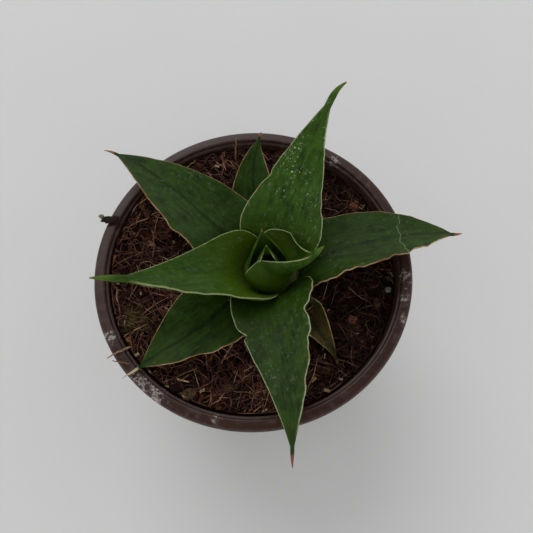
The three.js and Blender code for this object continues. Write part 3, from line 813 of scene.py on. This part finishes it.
# %% Leaf mesh
BEAD = 0.24  # radius of the hardened margin
POINT_NARROWING = 0.8  # how much of its width and thickness the point loses
RIPPLE = 7.5  # mm from wave to wave along a margin
FINE_RIPPLE = 2.6
MARGIN_LIFT = 1.6  # how far a ripple lifts the margin, for each mm that it pulls it in
MIDDLE_SINK = 0.15  # how far the middle sinks below the margins, as a share of the thickness
BLADE_STEPS = 96
POINT_STEPS = 14
RING_POINTS = 56


def nick(leaf, side, distance):
    """How far a healed wound has eaten into one margin."""
    return sum(
        depth * math.exp(-((distance - along) / length * 2) ** 2)
        for where, along, depth, length in leaf["nicks"] if where == side)


def leaf_section(leaf, number, distance, middle):
    """One ring of the blade, with what the material needs to know at each point."""
    s = min(distance / leaf["length"], 1)
    past = max(distance - leaf["length"], 0) / leaf["point"][0]
    left, up = growth(leaf, distance)[1:]
    narrowing = 1 - POINT_NARROWING * past ** 1.4
    half = half_width(leaf, s) * narrowing
    thick = lerp(leaf["thick"], 2 * leaf["point"][1], s ** 1.5) * narrowing
    opened = math.exp(-s / CURL_SHARE)
    curl = math.radians(lerp(leaf["curl"][1], leaf["curl"][0], opened)) * (1 - past) + 1e-3
    ring, blade, age = [], [], []
    for k in range(RING_POINTS):
        turn = 2 * math.pi * k / RING_POINTS
        u = math.cos(turn)
        side = 1 if u > 0 else -1
        calm = min(1, (1 - s) * 3) * (1 - past)
        ripple = noise.noise((distance / RIPPLE, 7.3 * number, 2.9 * side))
        ripple += 0.4 * noise.noise((distance / FINE_RIPPLE, 3.3 * number, 4.9 * side))
        ripple *= leaf["wave"] * calm
        reach = half - (nick(leaf, side, distance) + ripple) * calm * abs(u) ** 3
        across = reach * math.sin(curl * u) / curl
        lift = reach * (1 - math.cos(curl * u)) / curl + MARGIN_LIFT * ripple * abs(u) ** 5
        edge = (1 - abs(u)) * reach
        body = thick / 2 * math.sin(turn)
        bead_half = math.sqrt(max(0.0, BEAD ** 2 - (BEAD - edge) ** 2)) if edge < 2 * BEAD else 0.0
        bead_half *= min(1, half / 4) * (1 - past)
        if abs(body) < bead_half:
            body = math.copysign(bead_half, math.sin(turn))
        depth = body - MIDDLE_SINK * thick * (1 - u * u)
        bend = curl * u
        point = middle + left * (across - depth * math.sin(bend)) + up * (lift + depth * math.cos(bend))
        ring.append(point)
        blade.append((across, distance, edge))
        age.append((s, past, math.sin(turn)))
    return ring, blade, age, [(number, half, leaf["dry"])] * RING_POINTS


def make_leaf(leaf, number):
    """The whole leaf as one closed skin."""
    points = midrib(leaf)
    total = leaf["length"] + leaf["point"][0]
    stations = [leaf["length"] * (0.5 - 0.5 * math.cos(math.pi * k / BLADE_STEPS))
                for k in range(BLADE_STEPS + 1)]
    stations += [leaf["length"] + leaf["point"][0] * (1 - (1 - k / POINT_STEPS) ** 1.6) * 0.995
                 for k in range(1, POINT_STEPS + 1)]
    skin, blades, ages, plants = [points[0]], [(0, 0, 5)], [(0, 0, 0)], [(number, 9, 1)]
    for distance in stations:
        middle = point_between(points, distance / total * MIDRIB_STEPS)
        ring, blade, age, plant = leaf_section(leaf, number, distance, middle)
        skin += ring
        blades += blade
        ages += age
        plants += plant
    skin.append(points[-1])
    blades.append((0, total, 0))
    ages.append((1, 1, 0))
    plants.append((number, 0, leaf["dry"]))
    piece = make_mesh(leaf["name"] + "_blade", skin, skin_faces(len(stations), RING_POINTS))
    store(piece, "blade", blades)
    store(piece, "age", ages)
    store(piece, "plant", plants)
    store(piece, "habit", [(leaf["shade"], leaf["dust"], leaf["scar"])] * len(skin))
    return piece


# %% [markdown]
# The skin of the leaf is a living cuticle with a thin wax. It is mottled along its length and paler
# where the wax is thick. Its gloss is soft, and very fine ribs run from foot to tip. The margin is
# a narrow line of cork. It is cream-green on young leaves and rusty on old ones, and the spine dries
# to brown. Dust lies on the top side only.

# %% Leaf skins
# greens from deep to fresh, at the base and under bloom; cork of the margin, the line inside it and
# the tip; rust on the margin; depth of the dark channel; colour and share of corky blotches
SKIN_KEYS = "slot deep fresh base bloom margin inner_line tip rust channel blotch blotch_share".split()
SKINS = {name: dict(zip(SKIN_KEYS, look)) for name, look in {
    "young": ("young_leaf", "#1a3204", "#3c5a12", "#4a640a", "#345416", "#8b9668", "#4c6420", "#8a4a34",
              0.0, 0.0, "#6a5a2c", 0.15),
    "mature": ("mature_leaf", "#132606", "#3c5a1a", "#35520a", "#3c581e", "#9aa07c",
               "#4c6028", "#84483a", 0.25, 0.2, "#3c3a1a", 0.3),
    "old": ("mature_leaf", "#112205", "#2f4c12", "#2a4408", "#324812", "#a88a68", "#47501f", "#8e543a",
            0.6, 0.65, "#7a4e24", 0.35),
    "withered": ("withered_leaf", "#23260e", "#54491f", "#3a3414", "#6a5c30", "#b09c6c",
                 "#4a3a1c", "#5a4028", 0.5, 0.6, "#3a2412", 0.9),
}.items()}
SKINS["heart"] = {**SKINS["young"], "margin": "#2e4a12", "inner_line": "#2e4a12"}  # not yet hardened
SKINS["faded"] = {**SKINS["old"], "tip": "#b8a98a"}  # its point has dried and bleached

# noise on the blade: width and length of its features in mm, detail, roughness, distortion
BLADE_NOISES = {
    "mottle": (1.7, 5.5, 4, 0.65, 0), "bands": (7, 3.6, 3, 0.5, 0.8), "streaks": (0.5, 5, 2, 0.6, 0),
    "sway": (4, 12, 2, 0.5, 0), "blotch": (3, 4, 4, 0.75, 0), "drift": (6, 14, 3, 0.6, 0),
    "arcs": (2.4, 3.4, 2, 0.6, 1), "breaks": (1.5, 1.5, 2, 0.5, 0), "bend": (7, 90, 3, 0.55, 0)}


def leaf_material(name, look):
    """The waxed cuticle of one age of leaf."""
    material, add, place = new_material(name)
    stored = []
    for label in ("blade", "age", "plant", "habit"):
        whole = add("Attribute", output="Vector", attribute_name=label)
        stored.append(add("SeparateXYZ", [whole]).node.outputs)
    (across, along, edge), (share, past, upper), (number, half, dry), (shade, dust, scar) = stored
    flat = add("CombineXYZ", [across, along, upper])
    noises = {}
    for label, (wide, long, detail, rough, distortion) in BLADE_NOISES.items():
        spread = add("VectorMath", [flat, (1 / wide, 1 / long, 0.7)], operation="MULTIPLY")
        noises[label] = add("TexNoise", {
            "Vector": spread, "W": number, "Scale": 1.0, "Detail": detail, "Roughness": rough,
            "Distortion": distortion}, noise_dimensions="4D")

    # long mottles over cross bands, with streaks about 0.5 mm wide
    mixed = add("Math", [noises["bands"], 0.5, noises["mottle"]], operation="MULTIPLY_ADD")
    mixed = add("Math", [noises["streaks"], 0.4, mixed], operation="MULTIPLY_ADD")
    mixed = add("MapRange", [mixed, 0.74, 1.16])

    # yellower where the foot clasps the stem, and paler and yellower on the round point
    foot = add("MapRange", [share, 0.4, 0.05, 0, 0.7])
    pointed = add("MapRange", [past, 0, 0.5, 0, 0.55])

    # wax bloom in clouds of about 8 mm, stronger towards the end
    cloud = add("TexNoise", {"Vector": place, "Scale": 1 / (8 * MM), "Detail": 4.0, "Roughness": 0.6})
    cloud = add("MapRange", [cloud, 0.35, 0.7, 0, 0.8])
    waxed = add("MapRange", [share, 0.1, 1, 0.2, 1])
    waxed = add("Math", [cloud, waxed], operation="MULTIPLY")

    # the floor of the channel is darker
    channel = add("Math", [noises["sway"], 5, across], operation="MULTIPLY_ADD")
    channel = add("Math", [channel, 2.5], operation="SUBTRACT")
    channel = add("Math", [channel], operation="ABSOLUTE")
    channel = add("MapRange", [channel, 1.2, 0.1, 0, look["channel"]])

    green = look["deep"]
    for mask, tint in ((mixed, look["fresh"]), (foot, look["base"]), (waxed, look["bloom"]),
                       (pointed, "#64802c"), (channel, "#0e1c05")):
        green = add("Mix", {0: mask, 6: green, 7: tint}, 2, data_type="RGBA")
    # painted shade: each leaf's green is darkened by its shade value, for how the light falls on it
    green = add("VectorMath", {0: green, "Scale": shade}, operation="SCALE")

    # corky blotches, few and about 3 mm across
    spread = 0.06 * look["blotch_share"]
    spots = add("MapRange", [noises["blotch"], 0.7 - spread, 0.8 - spread, 0, look["blotch_share"]])

    # the hardened margin: a soft inner line, then cork with rusty stretches. The round point of a
    # leaf has no margin, so both fade out there
    wobble = add("TexNoise", {"Vector": place, "Scale": 1 / (1.2 * MM), "Detail": 3.0, "Roughness": 0.6})
    edge_place = add("Math", [wobble, 0.5, edge], operation="MULTIPLY_ADD")
    broad = add("MapRange", [half, 1.3, 3.5])
    line, margin = [
        add("Math", [add("MapRange", [edge_place, start, end, 0, most]), broad], operation="MULTIPLY")
        for start, end, most in ((0.85, 0.5, 0.4), (0.5, 0.38, 0.9))]
    rusty = add("TexNoise", {
        "Vector": add("CombineXYZ", [along, number, across]),
        "Scale": 1 / 5, "Detail": 3.0, "Roughness": 0.7})
    spread = 0.3 * look["rust"]
    rusty = add("MapRange", [rusty, 0.62 - spread, 0.75 - spread, 0, 0.75])
    cork = add("Mix", {0: rusty, 6: look["margin"], 7: "#824c2c"}, 2, data_type="RGBA")

    # the dry spine
    dried = add("Math", [past, dry], operation="SUBTRACT")
    dried = add("MapRange", [dried, 0, 0.15, 0, 0.95])

    # dust in drifts on the upper side: specks of about 0.4 mm, and short curved drag marks
    on_top = add("MapRange", [upper, 0.1, 0.4])
    drift = add("MapRange", [noises["drift"], 0.38, 0.66, 0.05, 1])
    drift = add("Math", [drift, dust], operation="MULTIPLY")
    drift = add("Math", [drift, on_top], operation="MULTIPLY")
    cells = add("TexVoronoi", {"Vector": place, "Scale": 1 / (1.3 * MM)}).node.outputs
    speck = add("Math", [drift, 0.34, -0.02], operation="MULTIPLY_ADD")
    speck = add("Math", [speck, add("SeparateXYZ", [cells["Color"]], "X")], operation="MULTIPLY")
    speck = add("Math", [speck, cells["Distance"]], operation="SUBTRACT")
    speck = add("MapRange", [speck, -0.02, 0.03, 0, 0.9])
    arcs = add("Math", [noises["arcs"], 0.5], operation="SUBTRACT")
    arcs = add("Math", [arcs], operation="ABSOLUTE")
    arcs = add("MapRange", [arcs, 0.035, 0.008])
    broken = add("MapRange", [noises["breaks"], 0.5, 0.66, 0, 0.7])
    arcs = add("Math", [arcs, broken], operation="MULTIPLY")
    arcs = add("Math", [arcs, drift], operation="MULTIPLY")

    # the pale line left by a bend
    bend = add("Math", [noises["bend"], 9, along], operation="MULTIPLY_ADD")
    bend = add("Math", [bend, scar], operation="SUBTRACT")
    bend = add("Math", [bend, 4.5], operation="SUBTRACT")
    bend = add("Math", [bend], operation="ABSOLUTE")
    bend = add("MapRange", [bend, 0.28, 0.05, 0, 0.28])
    bend = add("Math", [bend, on_top], operation="MULTIPLY")
    dusty = add("Math", [speck, arcs], operation="MAXIMUM")
    dusty = add("Math", [dusty, bend], operation="MAXIMUM")

    grain = add("TexNoise", {"Vector": place, "Scale": 1 / (0.35 * MM), "Detail": 2.0})
    height = add("Math", [grain, 0.35, noises["streaks"]], operation="MULTIPLY_ADD")
    rough = add("Math", [margin, dusty], operation="MAXIMUM")
    rough = add("MapRange", [rough, 0, 1, 0.46, 0.8])
    layers = [(spots, look["blotch"]), (line, look["inner_line"]), (margin, cork),
              (dried, look["tip"]), (dusty, "#a3ad94")]
    dress(add, green, layers, {"Roughness": rough, "IOR": 1.45, "Specular IOR Level": 0.1},
          height, (0.5, 0.12))
    return material


cuticles = {age: leaf_material(f"waxed_cuticle_{age}", look) for age, look in SKINS.items()}

# %% Grow the leaves
for number, leaf in enumerate(LEAVES):
    piece = make_leaf(leaf, number)
    finish_piece(piece, cuticles[leaf["skin"]], SKINS[leaf["skin"]]["slot"], leaf["name"])
    low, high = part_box(leaf["name"])
    corners = [Vector(c) for c in piece.bound_box]
    over = max(max(c[i] - high[i], low[i] - c[i]) for c in corners for i in range(3))
    print(f"{piece.name}: {len(piece.data.polygons)} faces, {over / MM:.1f} mm past its CAD box")

# %% [markdown]
# ## The stem
#
# The short stem shows only in slits between the clasping feet. It is pale and fleshy, and ringed by
# the scars of the leaves that it has shed.

# %% Stem
STEM_RADIUS = 15.5
STEM_TOP_RADIUS = 2.4
STEM_FOOT = 22.0
RING_DEPTH = 0.25
stem_profile = rounded([
    (0, POT_HEIGHT - STEM_FOOT, 0),
    (5, POT_HEIGHT - STEM_FOOT, 1.5),
    (7, POT_HEIGHT - STEM_FOOT + 6, 2),
    (STEM_RADIUS - 2, shoulder(STEM_RADIUS) - 4, 2),
    (STEM_RADIUS, shoulder(STEM_RADIUS), 1),
    *[(r, shoulder(r) + RING_DEPTH * (-1) ** k, 0.4)
      for k, r in enumerate((13.6, 12.6, 11, 10, 8.4, 7.4, 6, 5, 3.8))],
    (STEM_TOP_RADIUS, shoulder(STEM_TOP_RADIUS), 0.5),
    (0, shoulder(STEM_TOP_RADIUS) + 0.6, 0),
], 3)
stem = turned("stem_flesh", stem_profile, 96, STEM_AXIS,
              lambda p: Vector((noise.noise(p / 3), noise.noise(p / 3 + Vector((9, 0, 0))), 0)) * 0.3)

stem_flesh, add, place = new_material("fleshy_green_stem")
streak = add("TexNoise", {"Vector": place, "Scale": 1 / (2.5 * MM), "Detail": 4.0, "Roughness": 0.6})
dress(add, "#2b3a10", [(streak, "#5c6a28")], {"Roughness": 0.55, "IOR": 1.42}, streak, (0.4, 0.2))
finish_piece(stem, stem_flesh, "stem_flesh", "stem")

# %% [markdown]
# ## Bark, clod, pellet and husk
#
# Larger loose pieces lie on the mix. Each fills its CAD node's box: a fine ball is pulled towards a
# block or a pebble, then carved by noise that runs along the wood grain.

# %% Lumps


LUMP_RINGS = 40
LUMP_SECTORS = 64


def make_lump(node, turn, squareness, carve, grain):
    """A lump that fills its node's box, its long side turned by an angle."""
    low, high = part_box(node)
    centre = (low + high) / 2 / MM
    box = (high - low) / MM
    turning = Matrix.Rotation(math.radians(turn), 3, "Z")
    directions = [Vector((0, 0, -1))]
    for ring in range(1, LUMP_RINGS):
        tilt = math.pi * ring / LUMP_RINGS - math.pi / 2
        for k in range(LUMP_SECTORS):
            spin = 2 * math.pi * k / LUMP_SECTORS
            directions.append(Vector((math.cos(tilt) * math.cos(spin),
                                      math.cos(tilt) * math.sin(spin), math.sin(tilt))))
    directions.append(Vector((0, 0, 1)))
    seed = Vector((turn, len(node), box.x))
    points = []
    for d in directions:
        block = sum(abs(c) ** squareness for c in d) ** (-1 / squareness)
        rough = 1 - carve * (0.5 + 0.5 * noise.fractal(d * 1.8 + seed, 0.8, 2, 4))
        layered = 1 - 0.4 * carve * abs(noise.noise(Vector((d.x * 1.2, d.y * 5, d.z * 7)) * grain + seed))
        points.append(turning @ (d * block * rough * layered))
    size = [max(p[i] for p in points) - min(p[i] for p in points) for i in range(3)]
    middle = [(max(p[i] for p in points) + min(p[i] for p in points)) / 2 for i in range(3)]
    points = [Vector([centre[i] + (p[i] - middle[i]) * box[i] / size[i] for i in range(3)])
              for p in points]
    return make_mesh(node + "_shape", points, skin_faces(LUMP_RINGS - 1, LUMP_SECTORS))


# %% [markdown]
# Bark is layered cork: dark, matt and split along the grain. The same node graph serves every
# lump, and only its two tones, its grain size and its gloss change.

# %% Lump materials


def lump_material(name, dark, light, dust, grain_mm, rough):
    """Layered bark, peat or a coated pellet, in two tones and a dust."""
    material, add, place = new_material(name)
    stretched = add("Mapping", {"Vector": place, "Scale": (1, 1, 2.5)})
    grain = add("TexNoise", {
        "Vector": stretched, "Scale": 1 / (grain_mm * MM), "Detail": 5.0, "Roughness": 0.65,
        "Distortion": 0.5})
    specks = add("TexNoise", {"Vector": place, "Scale": 1 / (0.5 * MM), "Detail": 2.0})
    layers = [(add("MapRange", [grain, 0.36, 0.64]), light),
              (add("MapRange", [specks, 0.6, 0.72, 0, 0.6]), dust)]
    dress(add, dark, layers, {"Roughness": rough, "Specular IOR Level": 0.2}, grain, (0.8, 0.3))
    return material


dark_bark = lump_material("damp_dark_bark", "#0c0706", "#2a1b15", "#5a4a3e", 1.2, 0.7)
red_bark = lump_material("red_pine_bark", "#2e150e", "#6b3a28", "#9a7460", 1.4, 0.75)
brown_bark = lump_material("composted_pine_bark", "#1c0f09", "#4d3021", "#7d6350", 1.3, 0.8)
peat_clod = lump_material("dry_peat_clod", "#170e09", "#5a4330", "#8c765e", 1.0, 0.95)
coated_pellet = lump_material("coated_feed_pellet", "#5a5a58", "#7d7c78", "#a8a6a0", 0.9, 0.45)
seed_coat = lump_material("dry_seed_coat", "#5a5438", "#8e8864", "#b5ae8c", 0.8, 0.6)

# node: (angle of its long side, squareness, depth of carving, grain, material, slot)
LUMPS = {
    "bark_on_rim": (4, 3.0, 0.42, 1.6, dark_bark, "dark_bark"),
    "red_bark_chip": (-28, 3.5, 0.35, 1.0, red_bark, "red_bark"),
    "bark_chip_1": (62, 3.5, 0.35, 1.0, brown_bark, "bark"),
    "bark_chip_2": (20, 3.5, 0.35, 1.0, brown_bark, "bark"),
    "bark_chip_3": (-50, 3.5, 0.35, 1.0, red_bark, "red_bark"),
    "bark_chip_4": (80, 3.5, 0.35, 1.0, brown_bark, "bark"),
    "bark_chip_5": (10, 3.5, 0.35, 1.0, brown_bark, "bark"),
    "clod": (30, 2.0, 0.3, 2.0, peat_clod, "clod"),
    "feed_pellet": (0, 2.2, 0.06, 1.0, coated_pellet, "pellet"),
    "seed_husk": (0, 2.0, 0.12, 1.5, seed_coat, "husk"),
}
for node, (turn, squareness, carve, grain, material, slot) in LUMPS.items():
    finish_piece(make_lump(node, turn, squareness, carve, grain), material, slot, node)
print(f"{len(LUMPS)} lumps")

# a few bleached flakes among them
flake_skin = lump_material("bleached_husk_flake", "#6d5840", "#a8926f", "#c0ae90", 0.8, 0.9)
flake_sizes = {**FINES, "Density": 5200.0, "Smallest": 0.8 * MM, "Largest": 2.8 * MM, "Seed": 12}
flakes = grown(mix_bed("dry_flakes", 1.0), fines_tree("dry_flakes", flake_sizes, flake_skin), flake_sizes)
finish_piece(flakes, flake_skin, "coir_mix")

# %% [markdown]
# ## The thickest strands
#
# Five strands are long enough to be pieces of their own. Each follows the few points that the CAD
# model gives it, on a smooth curve, as a slightly kinked tube that thins towards its free end.

# %% Strand paths


def on_mix(x, y, lift):
    """A place above the mix's smooth surface."""
    return Vector((x, y, mix_top(x, y) + lift))


# node: (radius, points, dark tone, light tone, slot)
STRANDS = {
    "strand_over_rim": (0.4, [on_mix(-45, -28.5, 0.9), Vector((-48.6, -31, POT_HEIGHT + 0.8)),
                              Vector((-52, -33.2, POT_HEIGHT + 2.6))], "#6d5039", "#b0937a", "coir_strand"),
    "strand_thin": (0.3, [on_mix(-42.5, -35, 0.8), Vector((-46.6, -34.9, POT_HEIGHT + 0.9)),
                          Vector((-50.4, -34, POT_HEIGHT + 1.6))], "#4a3323", "#8a6a4e", "coir_strand"),
    "strand_upright": (0.35, [on_mix(-6.2, 49.5, 0.7), Vector((-5.9, 53, POT_HEIGHT - 0.4)),
                              Vector((-5.7, 56, POT_HEIGHT + 2))], "#4a3323", "#8a6a4e", "coir_strand"),
    "pale_root": (0.35, [on_mix(36.5, 47.5, 0.6), on_mix(39.6, 45.4, 1.5), on_mix(41.2, 42, 1.8),
                         on_mix(40.6, 38, 0.7)], "#8a7355", "#c4ae8c", "pale_root"),
    "straw": (0.45, [on_mix(-28.2, -40.6, 0.8), on_mix(-26, -41.1, 1.1), on_mix(-23.8, -41.8, 0.8)],
              "#9a8058", "#d0b98e", "straw"),
}
STRAND_STEPS = 40
STRAND_SIDES = 12
KINK = 0.35  # how far a strand strays from its path
THINNING = 0.55  # how much of its radius it has lost at its free end


def smooth_path(corners, share):
    """A point on a smooth curve through a few points, at a share of its length."""
    ends = [2 * corners[0] - corners[1], *corners, 2 * corners[-1] - corners[-2]]
    place = share * (len(corners) - 1)
    k = min(int(place), len(corners) - 2)
    t = place - k
    a, b, c, d = ends[k:k + 4]
    return 0.5 * (2 * b + (c - a) * t + (2 * a - 5 * b + 4 * c - d) * t ** 2
                  + (3 * b - a - 3 * c + d) * t ** 3)


def make_strand(node, radius, corners):
    """A kinked, tapering tube along a smooth path."""
    spine = []
    for k in range(STRAND_STEPS + 1):
        kink = Vector([noise.noise((k / 6, 3.7 * i, radius * 90)) for i in range(3)]) * KINK
        spine.append(smooth_path(corners, k / STRAND_STEPS) + kink)
    points = [spine[0]]
    for k, middle in enumerate(spine):
        along = (spine[min(k + 1, STRAND_STEPS)] - spine[max(k - 1, 0)]).normalized()
        side = along.cross(Vector((0, 0, 1))).normalized()
        up = side.cross(along)
        thin = radius * (1 - THINNING * (k / STRAND_STEPS) ** 2)
        thin *= 1 + 0.2 * noise.noise((k / 3, 0, radius))
        for j in range(STRAND_SIDES):
            turn = 2 * math.pi * j / STRAND_SIDES
            points.append(middle + (side * math.cos(turn) + up * math.sin(turn)) * thin)
    points.append(spine[-1])
    return make_mesh(node + "_fibre", points, skin_faces(STRAND_STEPS + 1, STRAND_SIDES))


for node, (radius, corners, dark, light, slot) in STRANDS.items():
    fibre = lump_material(f"dry_fibre_{node}", dark, light, light, 0.7, 0.8)
    finish_piece(make_strand(node, radius, corners), fibre, slot, node)
print(f"{len(STRANDS)} strands")
